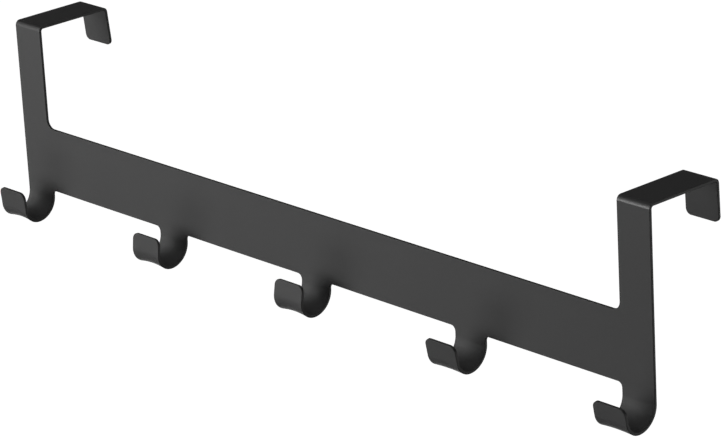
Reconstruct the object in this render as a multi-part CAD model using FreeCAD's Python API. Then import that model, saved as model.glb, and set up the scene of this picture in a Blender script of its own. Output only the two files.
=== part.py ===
"""Over door hook rack, folded from one blank of steel sheet.

The frame has +X along the bar, +Y into the door and +Z up. The origin is the
centre of the bar's back face, which lies flat against the front of the door.
Lengths are in millimetres and angles in degrees.
"""
import FreeCAD, Part
import os
from math import copysign, cos, pi, radians, sin

Vector = FreeCAD.Vector

# Sheet
SHEET_THICKNESS = 1.5
EDGE_BREAK = 0.25

# Bar and the straps that rise from its two ends
RACK_WIDTH = 450.0
BAR_HEIGHT = 34.5
STRAP_WIDTH = 20.0
STRAP_RISE = 55.0
STRAP_ROOT_RADIUS = 4.5

# Bridges over the top of the door and flaps behind it. The flaps stand a
# little open, the left one more than the right one.
DOOR_GAP = 42.5
DOOR_BEND_RADIUS = 1.2
FLAP_DROP = 21.5
FLAP_CORNER_RADIUS = 4.0
LEFT_FLAP_SPLAY = 5.5
RIGHT_FLAP_SPLAY = 2.0

# Hooks. Each is pressed by itself from a tongue of one length, so the drop
# to its bend and how far its lip is curled in past upright vary from hook
# to hook. The two lists run from left to right.
HOOK_WIDTH = 20.0
HOOK_TONGUE = 40.9
HOOK_BACK_RADIUS = 10.0
HOOK_FRONT_RADIUS = 7.0
HOOK_DROPS = [2.8, 3.3, 2.7, 4.1, 5.4]
LIP_CURLS = [-6.0, 5.5, 9.0, -10.5, -9.5]
LIP_CORNER_RADIUS = 3.5
HOOK_ROOT_RADIUS = 2.5

# Places and lengths that follow from the sizes above
HALF_SHEET = SHEET_THICKNESS / 2
BAR_TOP = BAR_HEIGHT / 2
BAR_BOTTOM = -BAR_HEIGHT / 2
RACK_LEFT = -RACK_WIDTH / 2
RACK_RIGHT = RACK_WIDTH / 2
HOOK_PITCH = (RACK_WIDTH - HOOK_WIDTH) / (len(HOOK_DROPS) - 1)

TOLERANCE = 1e-3
SHARP_ANGLE = 20.0


def along(heading):
    """Unit vector in the YZ plane, turned by heading from +Y towards +Z."""
    return Vector(0, cos(radians(heading)), sin(radians(heading)))


def folded_strip(left, width, start_z, heading, steps):
    """Strip of sheet folded step by step, and the middle of its free end.

    The walk starts on the bar's middle plane and follows the middle of the
    sheet. A step is a straight run (length) or a bend (inner radius, turn),
    where a positive turn goes from +Y towards +Z.
    """
    faces = {HALF_SHEET: [], -HALF_SHEET: []}
    here = Vector(left, -HALF_SHEET, start_z)
    for step in steps:
        if len(step) == 1:
            there = here + along(heading) * step[0]
            for offset, edges in faces.items():
                shift = along(heading + 90) * offset
                edges.append(Part.makeLine(here + shift, there + shift))
        else:
            inner_radius, turn = step
            hand = copysign(1, turn)
            radius = inner_radius + HALF_SHEET
            centre = here + along(heading + hand * 90) * radius
            for offset, edges in faces.items():
                spokes = [along(heading - hand * 90 + turn * share) for share in (0, 0.5, 1)]
                points = [centre + spoke * (radius - hand * offset) for spoke in spokes]
                edges.append(Part.Arc(*points).toShape())
            there = centre + spokes[-1] * radius
            heading = heading + turn
        here = there
    upper, lower = faces.values()
    root = Part.makeLine(upper[0].firstVertex().Point, lower[0].firstVertex().Point)
    tip = Part.makeLine(upper[-1].lastVertex().Point, lower[-1].lastVertex().Point)
    outline = Part.Wire(Part.sortEdges(upper + lower + [root, tip])[0])
    return Part.Face(outline).extrude(Vector(width, 0, 0)), here


def round_corners(shape, places, radius):
    """Round the edges that cross the sheet with their middles at the places."""
    corners = [edge for edge in shape.Edges
               if any(edge.CenterOfMass.distanceToPoint(place) < TOLERANCE for place in places)]
    return shape.makeFillet(radius, corners)


def round_free_end(strip, left, width, end, radius):
    """Round the two corners of a strip's free end."""
    places = [Vector(left, end.y, end.z), Vector(left + width, end.y, end.z)]
    return round_corners(strip, places, radius)


def door_bracket(left, splay):
    """Strap above the bar, bridge over the door, and flap behind the door."""
    bend = DOOR_BEND_RADIUS + SHEET_THICKNESS
    strip, end = folded_strip(left, STRAP_WIDTH, BAR_TOP, 90, [
        (STRAP_RISE - bend,),
        (DOOR_BEND_RADIUS, -90),
        (DOOR_GAP - 2 * DOOR_BEND_RADIUS,),
        (DOOR_BEND_RADIUS, splay - 90),
        (FLAP_DROP - bend,),
    ])
    return round_free_end(strip, left, STRAP_WIDTH, end, FLAP_CORNER_RADIUS)


def hook(left, drop, curl):
    """Tongue below the bar, bent forward and up into a lip."""
    back_arc = (HOOK_BACK_RADIUS + HALF_SHEET) * pi / 2
    front_arc = (HOOK_FRONT_RADIUS + HALF_SHEET) * radians(90 + curl)
    strip, end = folded_strip(left, HOOK_WIDTH, BAR_BOTTOM, -90, [
        (drop,),
        (HOOK_BACK_RADIUS, -90),
        (HOOK_FRONT_RADIUS, -90 - curl),
        (HOOK_TONGUE - drop - back_arc - front_arc,),
    ])
    return round_free_end(strip, left, HOOK_WIDTH, end, LIP_CORNER_RADIUS)


def faces_meet_sharply(shape, edge):
    """True where the two faces beside an edge turn by more than a smooth joint."""
    middle = edge.valueAt((edge.FirstParameter + edge.LastParameter) / 2)
    normals = [face.normalAt(*face.Surface.parameter(middle))
               for face in shape.ancestorsOfType(edge, Part.Face)]
    return normals[0].getAngle(normals[1]) > radians(SHARP_ANGLE)


def hook_rack():
    """The whole rack, as the one folded sheet that it is."""
    bar = Part.makeBox(RACK_WIDTH, SHEET_THICKNESS, BAR_HEIGHT,
                       Vector(RACK_LEFT, -SHEET_THICKNESS, BAR_BOTTOM))
    brackets = [door_bracket(RACK_LEFT, LEFT_FLAP_SPLAY),
                door_bracket(RACK_RIGHT - STRAP_WIDTH, RIGHT_FLAP_SPLAY)]
    hook_lefts = [RACK_LEFT + HOOK_PITCH * index for index in range(len(HOOK_DROPS))]
    hooks = [hook(*sizes) for sizes in zip(hook_lefts, HOOK_DROPS, LIP_CURLS)]
    rack = bar.fuse(brackets + hooks).removeSplitter()

    strap_roots = [Vector(x, -HALF_SHEET, BAR_TOP)
                   for x in (RACK_LEFT + STRAP_WIDTH, RACK_RIGHT - STRAP_WIDTH)]
    rack = round_corners(rack, strap_roots, STRAP_ROOT_RADIUS)
    hook_sides = hook_lefts[1:] + [left + HOOK_WIDTH for left in hook_lefts[:-1]]
    hook_roots = [Vector(x, -HALF_SHEET, BAR_BOTTOM) for x in hook_sides]
    rack = round_corners(rack, hook_roots, HOOK_ROOT_RADIUS)

    outline = [edge for edge in rack.Edges if faces_meet_sharply(rack, edge)]
    return rack.makeChamfer(EDGE_BREAK, outline)


os.makedirs("parts", exist_ok=True)
hook_rack().exportStep("parts/hook_rack.step")
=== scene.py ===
import math
from collections import namedtuple

import bpy
import numpy as np
from mathutils import Matrix, Vector


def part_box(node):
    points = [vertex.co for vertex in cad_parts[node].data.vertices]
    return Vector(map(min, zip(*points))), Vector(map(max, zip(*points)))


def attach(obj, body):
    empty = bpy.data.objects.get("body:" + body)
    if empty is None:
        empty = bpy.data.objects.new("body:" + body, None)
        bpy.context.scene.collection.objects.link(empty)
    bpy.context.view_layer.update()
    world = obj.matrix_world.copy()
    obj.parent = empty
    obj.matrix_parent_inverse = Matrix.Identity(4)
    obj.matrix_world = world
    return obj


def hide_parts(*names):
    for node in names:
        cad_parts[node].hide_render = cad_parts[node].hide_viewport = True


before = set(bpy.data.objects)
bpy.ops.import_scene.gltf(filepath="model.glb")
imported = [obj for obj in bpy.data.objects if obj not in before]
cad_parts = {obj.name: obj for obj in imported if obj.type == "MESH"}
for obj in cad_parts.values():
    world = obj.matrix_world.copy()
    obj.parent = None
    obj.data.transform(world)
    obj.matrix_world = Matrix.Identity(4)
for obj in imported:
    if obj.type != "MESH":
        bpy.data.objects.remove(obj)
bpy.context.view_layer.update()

# The over door hook rack is one sheet of steel: a flat blank with a bar, two straps above its ends and
# five hook tongues below it, which is folded and then powder coated. Every point of the coated surface
# starts on the flat blank, as x along the bar, s up the sheet from the bar's middle, and a lift from the
# middle of the sheet towards the front. Folding then takes it to its place. Lengths are in millimetres,
# those of the camera, the floor and the lights in metres, and angles in degrees.
MM = 0.001
RACK_LOW, RACK_HIGH = (np.array(corner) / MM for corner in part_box("hook_rack"))

# Sheet and bar
SHEET = 1.5
HALF_SHEET = SHEET / 2
EDGE_ROUND = 0.25
BAR_HEIGHT = 34.5
BAR_HALF = BAR_HEIGHT / 2
RACK_LEFT, RACK_RIGHT = RACK_LOW[0], RACK_HIGH[0]

# Straps, the bridges over the door and the flaps behind it. The flaps' corners are a little tighter than
# those of the solid.
STRAP_WIDTH = 20.0
STRAP_RISE = RACK_HIGH[2] - BAR_HALF
STRAP_ROOT = 4.5
DOOR_GAP = 42.5
DOOR_BEND = 1.2
FLAP_DROP = 21.5
FLAP_CORNER = 3.0
FLAP_SPLAYS = [5.5, 2.0]

# Hooks, from left to right
HOOK_WIDTH = 20.0
HOOK_TONGUE = 40.9
HOOK_BACK = 10.0
HOOK_FRONT = 7.0
HOOK_ROOT = 2.5
LIP_CORNER = 3.5
HOOK_DROPS = [2.8, 3.3, 2.7, 4.1, 5.4]
LIP_CURLS = [-6.0, 5.5, 9.0, -10.5, -9.5]
HOOK_PITCH = (RACK_RIGHT - RACK_LEFT - HOOK_WIDTH) / (len(HOOK_DROPS) - 1)

# A narrow tongue that is pressed round a bend takes a saddle shape: its middle stands in on the inside of
# the bend, and its two sides flare away from it. Each hook has its depth, and the share of it that the
# sides flare at the bottom of the hook. At the stem, and on the last and lowest hook, the sides keep their
# place. On the bar the saddle fades at about this reach, in half widths of the tongue from its middle.
# Along the tongue it comes and goes over these runs, about the start and the end of the two bends.
SADDLE_DEPTHS = [0.9, 0.8, 0.8, 0.4, 0.4]
SADDLE_FLARES = [0.4, 0.4, 0.4, 0.4, 0.0]
SADDLE_REACH = 1.6
SADDLE_RUN_IN = (-6.0, 4.0)
SADDLE_RUN_OUT = (-7.0, 3.0)

# Bends tighter than this radius, to the middle of the sheet, draw the coat thin and smooth over their
# outside. That look comes and goes over these first and last degrees of the bend.
TIGHT_RADIUS = 3.0
TIGHT_EASE = 8.0

# The coat's patterns: their widths and the depths of their relief. The grain of a real coat is finer than
# the photograph can show, so it is drawn as coarse as it needs to show.
PEEL_WIDTH, PEEL_DEPTH = 2.6, 0.012
GRAIN_WIDTH, GRAIN_DEPTH = 0.45, 0.010
CLOUD_WIDTH = 38.0

# The coat's roughness on its open faces, over the heights of the grain, how much smoother it is where it
# is drawn thin, and the refractive index of its resin
SATIN = (0.60, 0.70)
SMOOTHER_AT_EDGE = 0.05
SMOOTHER_AT_BEND = 0.25
COAT_IOR = 1.5

# Colours: the coat's two tones, which drift into each other, its tone on the cut edges, and the studio
COAT_TONES = ("#252525", "#2a2a2a")
COAT_AT_EDGE = "#222222"
FLOOR_PAPER = "#e8e8e8"
STUDIO_WHITE = "#ffffff"

# Fineness of the mesh: columns across a strip and across the gap between two hooks, rows up the bar, round
# a corner and round a cut edge, the longest row of a straight run, and the largest turn of a bend's row.
# A strip's plain rows keep clear of its corners' rows.
STRIP_COLUMNS = 16
GAP_COLUMNS = 30
BAR_ROWS = 18
ARC_ROWS = 8
EDGE_ROWS = 5
RUN_ROW = 4.0
BEND_ROW = 3.0
ROW_CLEARANCE = 0.2

# The saddle's slopes are measured over this step to each side.
SLOPE_STEP = 0.02

# Points closer than a ten-thousandth of a millimetre become one. The shift keeps round sizes off the
# places where rounding changes.
WELD_DIGITS = 4
WELD_SHIFT = 0.00137

# The photograph's view: its width and the camera's focal length in pixels, the camera's place round the
# rack from the front towards the right, its elevation and roll, and its distance and target in metres
PHOTO_WIDTH = 728
SENSOR_WIDTH = 36.0
FOCAL_PIXELS = 3795.1
VIEW_AZIMUTH = 48.092
VIEW_ELEVATION = 19.815
VIEW_ROLL = -3.109
VIEW_DISTANCE = 1.8073
VIEW_TARGET = Vector((0.037941, -0.0015, 0.02205))

# Softboxes by name: azimuth from the front towards the right and elevation in degrees, distance from the
# rack and side of the square in metres, power in watts. The key and the front one stand near and low at
# the front left, so their light falls off along the bar. The backdrop gives the undersides of the bends
# their thin light rims, and the right back one lights the back of the sheet. The fill is the light that
# the white surroundings add.
SOFTBOXES = {
    "key": (325, 5, 1.0, 0.4, 3.3),
    "front": (330, 5, 1.2, 0.9, 6.1),
    "left": (275, 0, 0.75, 0.35, 0.6),
    "left_under": (315, -40, 1.5, 0.6, 3.2),
    "left_high": (308, 30, 1.5, 0.8, 2.9),
    "top": (0, 88, 2.0, 1.05, 9.7),
    "right_back": (138, -12, 2.0, 1.05, 8.5),
    "backdrop": (230, -32, 2.0, 1.5, 18.0),
}
WORLD_FILL = 0.05

# Floor: half its side, and its level, which is about a door's height under the rack
FLOOR_HALF = 40.0
FLOOR_LEVEL = -2.0


# A strip is a strap, a hook or the bar: its left side and its width, the s at which it starts, whether it
# runs up (1) or down (-1) from there, its steps, the radii of the roots at its two sides, 0 at the end of
# the bar, and the radius of the corners at its tip.
Strip = namedtuple("Strip", "left width base up steps roots tip")


def straight(length):
    """Straight run of a strip: its length and no turn."""
    return length, 0.0


def bend(inner_radius, turn):
    """Bend of a strip: its length along the middle of the sheet, and its turn."""
    return (inner_radius + HALF_SHEET) * math.radians(abs(turn)), turn


def strap(left, splay, roots):
    """Strap above the bar, with its bridge and its flap."""
    corner = DOOR_BEND + SHEET
    steps = [straight(STRAP_RISE - corner),
             bend(DOOR_BEND, -90),
             straight(DOOR_GAP - 2 * DOOR_BEND),
             bend(DOOR_BEND, splay - 90),
             straight(FLAP_DROP - corner)]
    return Strip(left, STRAP_WIDTH, BAR_HALF, 1, steps, roots, FLAP_CORNER)


def hook(left, drop, curl, roots):
    """Hook tongue below the bar, with a wide bend at its back and a tighter one into the lip."""
    bends = [bend(HOOK_BACK, -90), bend(HOOK_FRONT, -90 - curl)]
    lip = HOOK_TONGUE - drop - sum(length for length, turn in bends)
    steps = [straight(drop)] + bends + [straight(lip)]
    return Strip(left, HOOK_WIDTH, -BAR_HALF, -1, steps, roots, LIP_CORNER)


def strip_length(strip):
    """Length of a strip along the middle of the sheet."""
    return sum(length for length, turn in strip.steps)


HOOK_LEFTS = [RACK_LEFT + HOOK_PITCH * index for index in range(len(HOOK_DROPS))]
HOOK_ROOTS = [(0.0, HOOK_ROOT)] + [(HOOK_ROOT, HOOK_ROOT)] * (len(HOOK_DROPS) - 2) + [(HOOK_ROOT, 0.0)]
HOOKS = [hook(*sizes) for sizes in zip(HOOK_LEFTS, HOOK_DROPS, LIP_CURLS, HOOK_ROOTS)]
STRAPS = [strap(RACK_LEFT, FLAP_SPLAYS[0], (0.0, STRAP_ROOT)),
          strap(RACK_RIGHT - STRAP_WIDTH, FLAP_SPLAYS[1], (STRAP_ROOT, 0.0))]
BAR = Strip(RACK_LEFT, RACK_RIGHT - RACK_LEFT, -BAR_HALF, 1, [straight(BAR_HEIGHT)], (0.0, 0.0), 0.0)


def chord(length, start, end):
    """Vector across an arc from its length and its headings at both ends, in radians.

    It points halfway between the headings, and is as long as the arc times the sine of half the turn
    over half the turn. With no turn it is the straight run itself.
    """
    half_turn = (end - start) / 2
    reach = length * np.sinc(half_turn / np.pi)
    return np.stack([reach * np.cos(start + half_turn), reach * np.sin(start + half_turn)], axis=-1)


def fold(strip, distance):
    """Middle of the folded sheet as (y, z), and its heading in radians, at each distance from the bar.

    The heading is the sum of the turns passed so far, and each bend turns evenly along its length, so a
    place is the last joint between two steps plus the chord from there.
    """
    lengths, turns = np.array(strip.steps, dtype=float).T
    joints = np.concatenate([[0.0], np.cumsum(lengths)])
    headings = np.radians(np.concatenate([[0.0], np.cumsum(turns)]) + strip.up * 90)
    spans = np.cumsum(chord(lengths, headings[:-1], headings[1:]), axis=0)
    corners = np.concatenate([[[0.0, 0.0]], spans]) + [-HALF_SHEET, strip.base]
    step = np.clip(np.searchsorted(joints, distance, side="right") - 1, 0, len(lengths) - 1)
    here = np.interp(distance, joints, headings)
    return corners[step] + chord(distance - joints[step], headings[step], here), here


def ease(value, start, end):
    """Smooth step from 0 at start to 1 at end: three times the share squared less twice its cube."""
    share = np.clip((value - start) / (end - start), 0, 1)
    return share * share * (3 - 2 * share)


def saddle(x, s):
    """Height of the hooks' saddles over the plain folded sheet, towards the inside of the bends.

    Across a tongue it is one less the flare less a parabola, and all of that fades by one over one plus
    the sixth power of the share of the reach. Along the tongue it rises about the start of the bends and
    falls about their end, and the flare grows from the stem to the bottom of the hook.
    """
    height = np.zeros(np.broadcast(x, s).shape)
    for tongue, depth, flare in zip(HOOKS, SADDLE_DEPTHS, SADDLE_FLARES):
        distance = tongue.base - s
        bend_start = tongue.steps[0][0]
        bottom = bend_start + tongue.steps[1][0]
        bend_end = bottom + tongue.steps[2][0]
        rise = ease(distance, bend_start + SADDLE_RUN_IN[0], bend_start + SADDLE_RUN_IN[1])
        fall = ease(distance, bend_end + SADDLE_RUN_OUT[0], bend_end + SADDLE_RUN_OUT[1])
        aside = (x - tongue.left - HOOK_WIDTH / 2) / (HOOK_WIDTH / 2)
        middle = 1 - flare * ease(distance, bend_start, bottom)
        across = (middle - aside ** 2) / (1 + (aside / SADDLE_REACH) ** 6)
        height = height + depth * rise * (1 - fall) * across
    return height


def tight_bend(strip, distance):
    """Share from 0 to 1 in which each distance along a strip lies in one of its tight bends."""
    share = np.zeros(np.shape(distance))
    start = 0.0
    for length, turn in strip.steps:
        if abs(turn) > 0 and length < TIGHT_RADIUS * math.radians(abs(turn)):
            into = abs(turn) * (distance - start) / length
            left_over = abs(turn) - into
            share = share + ease(into, 0, TIGHT_EASE) * ease(left_over, 0, TIGHT_EASE)
        start += length
    return share


def settle(strip, x, s, lift, lean):
    """Places and normals of surface points after folding, from their places on the flat blank.

    lean is a point's normal on the blank, as its parts along x, s and the lift. The sheet's own axes are
    x, the tangent up the sheet, and the front normal, which is the tangent turned a quarter turn. The
    saddle moves a point along the front normal, and its slopes tip the axes.
    """
    x, s, lift = np.broadcast_arrays(x, s, lift)
    middle, heading = fold(strip, strip.up * (s - strip.base))
    none = np.zeros(x.shape)
    tangent = np.stack([none, strip.up * np.cos(heading), strip.up * np.sin(heading)], axis=-1)
    front = np.stack([none, -tangent[..., 2], tangent[..., 1]], axis=-1)
    sideways = np.stack([none + 1, none, none], axis=-1)
    raised = (lift + saddle(x, s))[..., None]
    points = np.concatenate([x[..., None], middle], axis=-1) + raised * front

    step = SLOPE_STEP
    slope_x = ((saddle(x + step, s) - saddle(x - step, s)) / (2 * step))[..., None]
    slope_s = ((saddle(x, s + step) - saddle(x, s - step)) / (2 * step))[..., None]
    lean_x, lean_s, lean_up = (np.broadcast_to(part, x.shape)[..., None] for part in lean)
    normals = (lean_x * (sideways + slope_x * front)
               + lean_s * (tangent + slope_s * front)
               + lean_up * (front - slope_x * sideways - slope_s * tangent))
    return points, normals / np.linalg.norm(normals, axis=-1, keepdims=True)


def side_line(root_radius, tip_radius, length, distance):
    """Line beside a strip's cut edge, where the flat face ends and the rounded edge begins.

    Beside the bar it is a concave quarter circle, at the tip a convex one, and straight between them.
    Returns how far it lies inside the strip's side, and the cut edge's outward normal as its parts along
    the strip and sideways. The part along is the way into an arc over the arc's radius.
    """
    concave = root_radius + EDGE_ROUND
    convex = tip_radius - EDGE_ROUND
    into_root = np.clip(root_radius - distance, 0, concave) * (root_radius > 0)
    into_tip = np.clip(distance - length + tip_radius, 0, convex)
    along = into_root / concave + into_tip / convex
    aside = np.sqrt(np.clip(1 - along ** 2, 0, 1))
    arc = np.where(into_tip > 0, convex, 0) - np.where(into_root > 0, concave, 0)
    return EDGE_ROUND + arc * (1 - aside), along, aside


def rows_along(strip):
    """Distances of the mesh's rows along a strip: even angles on arcs and bends, even runs elsewhere."""
    rows = [np.zeros(1)]
    start = 0.0
    for length, turn in strip.steps:
        count = math.ceil(max(length / RUN_ROW, abs(turn) / BEND_ROW))
        rows.append(start + length * np.linspace(0, 1, count + 1)[1:])
        start += length
    quarter = np.sin(np.radians(np.linspace(0, 90, ARC_ROWS + 1)))
    root, tip = max(strip.roots), start - strip.tip
    middle = np.concatenate(rows)
    middle = middle[(middle > root + ROW_CLEARANCE) & (middle < tip - ROW_CLEARANCE)]
    return np.concatenate([root - (root + EDGE_ROUND) * quarter[::-1], middle,
                           tip + (strip.tip - EDGE_ROUND) * quarter])


class Surface:
    """Grids of the folded surface, gathered into one closed mesh."""

    def __init__(self):
        self.points, self.normals, self.quads = [], [], []
        self.edge_share, self.bend_share = [], []
        self.count = 0

    def add(self, strip, x, s, lift, lean):
        """Adds one grid of the flat blank, folded as the strip is."""
        points, normals = settle(strip, x, s, lift, lean)
        rows, columns = points.shape[:2]
        index = np.arange(rows * columns).reshape(rows, columns) + self.count
        corners = (index[:-1, :-1], index[1:, :-1], index[1:, 1:], index[:-1, 1:])
        self.quads.append(np.stack(corners, axis=-1).reshape(-1, 4))
        self.points.append(points.reshape(-1, 3))
        self.normals.append(normals.reshape(-1, 3))
        lean_up = np.broadcast_to(lean[2], (rows, columns))
        distance = np.broadcast_to(strip.up * (s - strip.base), (rows, columns))
        self.edge_share.append(1 - np.abs(lean_up).reshape(-1))
        self.bend_share.append((tight_bend(strip, distance) * np.clip(lean_up, 0, 1)).reshape(-1))
        self.count += rows * columns

    def add_faces(self, strip, x, s):
        """Adds the sheet's front and back over one grid of the blank."""
        for side in (1, -1):
            self.add(strip, x, s, side * HALF_SHEET, (0, 0, side))

    def add_cut_edge(self, strip, x, s, out_x, out_s):
        """Adds the cut edge beside a line on the blank whose outward direction is (out_x, out_s).

        The edge's profile is a quarter circle from the front face, a flat, and a quarter circle to the
        back face. It is carried along the line.
        """
        turn = np.radians(np.linspace(0, 90, EDGE_ROWS + 1))
        quarter_out, quarter_up = np.sin(turn), np.cos(turn)
        out = np.concatenate([quarter_out, quarter_out[::-1]])
        up = np.concatenate([quarter_up, -quarter_up[::-1]])
        height = (HALF_SHEET - EDGE_ROUND) * np.where(np.arange(len(up)) <= EDGE_ROWS, 1, -1)
        x, s, out_x, out_s = (np.asarray(part, dtype=float)[:, None]
                              for part in np.broadcast_arrays(x, s, out_x, out_s))
        self.add(strip, x + EDGE_ROUND * out * out_x, s + EDGE_ROUND * out * out_s,
                 height + EDGE_ROUND * up, (out * out_x, out * out_s, up + 0 * out_x))

    def mesh(self, name):
        """One closed mesh: equal points become one, and every face looks the way its normals do.

        A face looks along the cross product of its diagonals.
        """
        points, normals = np.concatenate(self.points), np.concatenate(self.normals)
        quads = np.concatenate(self.quads)
        grid = np.round(points + WELD_SHIFT, WELD_DIGITS)
        first, where = np.unique(grid, axis=0, return_index=True, return_inverse=True)[1:]
        points, normals = points[first], normals[first]
        quads = where.reshape(-1)[quads]
        corner = points[quads]
        facing = np.cross(corner[:, 2] - corner[:, 0], corner[:, 3] - corner[:, 1])
        inward = (facing * normals[quads].sum(axis=1)).sum(axis=1) < 0
        quads[inward] = quads[inward, ::-1]

        mesh = bpy.data.meshes.new(name)
        mesh.from_pydata((points * MM).tolist(), [], quads.tolist())
        mesh.polygons.foreach_set("use_smooth", np.ones(len(quads), dtype=bool))
        for attribute, parts in (("cut_edge", self.edge_share), ("tight_bend", self.bend_share)):
            share = np.concatenate(parts)[first]
            mesh.attributes.new(attribute, "FLOAT", "POINT").data.foreach_set("value", share)
        mesh.normals_split_custom_set_from_vertices(normals.tolist())
        mesh.update()
        return mesh


def add_strip(surface, strip):
    """Adds a strap or a hook, and returns the x of its columns where it leaves the bar."""
    distance = rows_along(strip)
    length = strip_length(strip)
    left_in, left_along, left_aside = side_line(strip.roots[0], strip.tip, length, distance)
    right_in, right_along, right_aside = side_line(strip.roots[1], strip.tip, length, distance)
    left = strip.left + left_in
    right = strip.left + strip.width - right_in
    share = np.linspace(0, 1, STRIP_COLUMNS + 1)
    x = left[:, None] + (right - left)[:, None] * share
    s = strip.base + strip.up * distance
    surface.add_faces(strip, x, s[:, None])
    surface.add_cut_edge(strip, left, s, -left_aside, strip.up * left_along)
    surface.add_cut_edge(strip, x[-1], s[-1], 0, strip.up)
    surface.add_cut_edge(strip, right, s, right_aside, strip.up * right_along)
    return x[0]


def coated_sheet():
    """The whole folded sheet: bar, straps and hooks, with their cut edges."""
    surface = Surface()
    strap_columns = [add_strip(surface, strip) for strip in STRAPS]
    hook_columns = [add_strip(surface, strip) for strip in HOOKS]

    edge = BAR_HALF - EDGE_ROUND
    bottom = [hook_columns[0]]
    for before, after in zip(hook_columns, hook_columns[1:]):
        gap = np.linspace(before[-1], after[0], GAP_COLUMNS + 1)
        surface.add_cut_edge(BAR, gap, -edge, 0, -1)
        bottom += [gap[1:-1], after]
    bottom = np.concatenate(bottom)
    between = bottom[STRIP_COLUMNS + 1:-STRIP_COLUMNS - 1]
    top = np.concatenate([strap_columns[0], between, strap_columns[1]])
    surface.add_cut_edge(BAR, top[STRIP_COLUMNS:-STRIP_COLUMNS], edge, 0, 1)

    share = np.linspace(0, 1, BAR_ROWS + 1)[:, None]
    s = -edge + 2 * edge * share
    x = bottom + (top - bottom) * share
    surface.add_faces(BAR, x, s)
    surface.add_cut_edge(BAR, x[:, 0], s[:, 0], -1, 0)
    surface.add_cut_edge(BAR, x[:, -1], s[:, 0], 1, 0)
    return surface.mesh("hook_rack_coated")


def link(name, data):
    """Puts an object with this data into the scene, at the origin."""
    thing = bpy.data.objects.new(name, data)
    bpy.context.scene.collection.objects.link(thing)
    return thing


def linear(code):
    """Linear colour of an sRGB hex code: each channel with the sRGB curve undone."""
    channels = [int(code[place:place + 2], 16) / 255 for place in (1, 3, 5)]
    return [c / 12.92 if c <= 0.04045 else ((c + 0.055) / 1.055) ** 2.4 for c in channels] + [1.0]


def add_node(tree, kind, inputs, **settings):
    """Adds a node with its settings, and sets or links each of its inputs."""
    node = tree.nodes.new(kind)
    for name, value in settings.items():
        setattr(node, name, value)
    for socket, value in inputs.items():
        if isinstance(value, bpy.types.NodeSocket):
            tree.links.new(value, node.inputs[socket])
        else:
            node.inputs[socket].default_value = value
    return node


def satin_powder_coat():
    """Black satin powder coat on steel, sprayed dry and baked until it flows.

    The melt levels into a skin with a faint orange peel, a few millimetres from crest to crest. The
    matting agent in it leaves a grain of a fraction of a millimetre, which spreads each reflection, and
    its black drifts a little over some centimetres. The skin is drawn thin over the cut edges and over the
    outside of the tight bends. So it is smoother there, which shows as a thin light line along the bends,
    and deeper black on the edges.
    """
    material = bpy.data.materials.new("black_satin_powder_coat")
    material.use_nodes = True
    tree = material.node_tree
    shader = tree.nodes["Principled BSDF"]
    place = add_node(tree, "ShaderNodeTexCoord", {}).outputs["Object"]
    edge = add_node(tree, "ShaderNodeAttribute", {}, attribute_name="cut_edge").outputs["Fac"]
    drawn = add_node(tree, "ShaderNodeAttribute", {}, attribute_name="tight_bend").outputs["Fac"]

    peel = add_node(tree, "ShaderNodeTexNoise", {
        "Vector": place, "Scale": 1 / (PEEL_WIDTH * MM), "Detail": 1.0})
    grain = add_node(tree, "ShaderNodeTexNoise", {
        "Vector": place, "Scale": 1 / (GRAIN_WIDTH * MM), "Detail": 2.0})
    cloud = add_node(tree, "ShaderNodeTexNoise", {
        "Vector": place, "Scale": 1 / (CLOUD_WIDTH * MM), "Detail": 2.0})

    peel_bump = add_node(tree, "ShaderNodeBump", {
        "Height": peel.outputs["Fac"], "Strength": 1.0, "Distance": PEEL_DEPTH * MM})
    grain_bump = add_node(tree, "ShaderNodeBump", {
        "Height": grain.outputs["Fac"], "Strength": 1.0, "Distance": GRAIN_DEPTH * MM,
        "Normal": peel_bump.outputs["Normal"]})

    low_tone, high_tone = (linear(code) for code in COAT_TONES)
    tone = add_node(tree, "ShaderNodeMix", {
        "Factor": cloud.outputs["Fac"], "A": low_tone, "B": high_tone}, data_type="RGBA")
    deep = add_node(tree, "ShaderNodeMix", {
        "Factor": edge, "A": tone.outputs["Result"], "B": linear(COAT_AT_EDGE)}, data_type="RGBA")
    satin = add_node(tree, "ShaderNodeMapRange", {
        "Value": grain.outputs["Fac"], "To Min": SATIN[0], "To Max": SATIN[1]})
    at_edge = add_node(tree, "ShaderNodeMath", {0: edge, 1: SMOOTHER_AT_EDGE}, operation="MULTIPLY")
    smoother = add_node(tree, "ShaderNodeMath", {
        0: drawn, 1: SMOOTHER_AT_BEND, 2: at_edge.outputs["Value"]}, operation="MULTIPLY_ADD")
    rough = add_node(tree, "ShaderNodeMath", {
        0: satin.outputs["Result"], 1: smoother.outputs["Value"]}, operation="SUBTRACT")

    tree.links.new(deep.outputs["Result"], shader.inputs["Base Color"])
    tree.links.new(rough.outputs["Value"], shader.inputs["Roughness"])
    tree.links.new(grain_bump.outputs["Normal"], shader.inputs["Normal"])
    shader.inputs["IOR"].default_value = COAT_IOR
    return material


def direction_from(azimuth, elevation):
    """Unit vector from the rack towards an azimuth and an elevation, both in degrees."""
    azimuth, elevation = math.radians(azimuth), math.radians(elevation)
    return Vector((math.sin(azimuth) * math.cos(elevation),
                   -math.cos(azimuth) * math.cos(elevation),
                   math.sin(elevation)))


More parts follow.
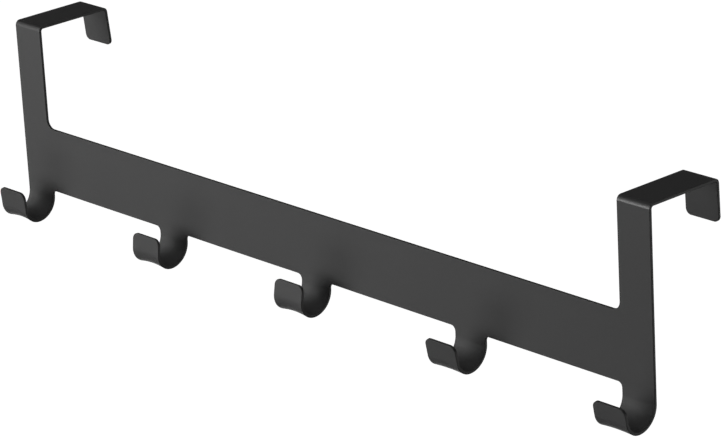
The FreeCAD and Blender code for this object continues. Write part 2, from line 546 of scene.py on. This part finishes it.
def add_camera():
    """Camera at the photograph's view, turned about the rack and rolled a little."""
    azimuth, roll = math.radians(VIEW_AZIMUTH), math.radians(VIEW_ROLL)
    back = direction_from(VIEW_AZIMUTH, VIEW_ELEVATION)
    level = Vector((math.cos(azimuth), math.sin(azimuth), 0.0))
    rise = back.cross(level)
    right = level * math.cos(roll) + rise * math.sin(roll)
    up = rise * math.cos(roll) - level * math.sin(roll)
    data = bpy.data.cameras.new("camera")
    data.sensor_width = SENSOR_WIDTH
    data.lens = FOCAL_PIXELS * SENSOR_WIDTH / PHOTO_WIDTH
    camera = link("camera", data)
    camera.matrix_world = Matrix((right, up, back)).transposed().to_4x4()
    camera.matrix_world.translation = VIEW_TARGET + back * VIEW_DISTANCE
    bpy.context.scene.camera = camera


def add_softbox(name, azimuth, elevation, distance, side, power):
    """Square softbox, which stands off the rack in a direction and faces it."""
    data = bpy.data.lights.new(name, "AREA")
    data.shape = "SQUARE"
    data.size = side
    data.energy = power
    light = link(name, data)
    direction = direction_from(azimuth, elevation)
    light.location = direction * distance
    light.rotation_euler = direction.to_track_quat("Z", "Y").to_euler()
    light.visible_camera = False


def add_floor():
    """Plain pale floor, which is seen but throws no light or shadow on the rack."""
    low, high = -FLOOR_HALF, FLOOR_HALF
    corners = [(low, low), (high, low), (high, high), (low, high)]
    mesh = bpy.data.meshes.new("floor")
    mesh.from_pydata([(x, y, FLOOR_LEVEL) for x, y in corners], [], [(0, 1, 2, 3)])
    floor = link("floor", mesh)
    paper = bpy.data.materials.new("pale_paper_floor")
    paper.use_nodes = True
    shader = paper.node_tree.nodes["Principled BSDF"]
    shader.inputs["Base Color"].default_value = linear(FLOOR_PAPER)
    shader.inputs["Emission Color"].default_value = linear(STUDIO_WHITE)
    shader.inputs["Emission Strength"].default_value = 1.0
    mesh.materials.append(paper)
    floor.visible_diffuse = False
    floor.visible_glossy = False
    floor.visible_shadow = False


def add_surroundings():
    """White world behind the rack, which lights the rack itself only by its fill."""
    world = bpy.data.worlds.new("pale_surroundings")
    bpy.context.scene.world = world
    world.use_nodes = True
    tree = world.node_tree
    seen = add_node(tree, "ShaderNodeLightPath", {}).outputs["Is Camera Ray"]
    strength = add_node(tree, "ShaderNodeMapRange", {"Value": seen, "To Min": WORLD_FILL, "To Max": 1.0})
    background = tree.nodes["Background"]
    background.inputs["Color"].default_value = linear(STUDIO_WHITE)
    tree.links.new(strength.outputs["Result"], background.inputs["Strength"])


add_camera()
add_floor()
add_surroundings()
for name, placing in SOFTBOXES.items():
    add_softbox(name + "_softbox", *placing)
bpy.context.scene.view_settings.view_transform = "Standard"

rack = link("hook_rack_coated", coated_sheet())
rack.data.materials.append(satin_powder_coat())
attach(rack, "root")
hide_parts("hook_rack")
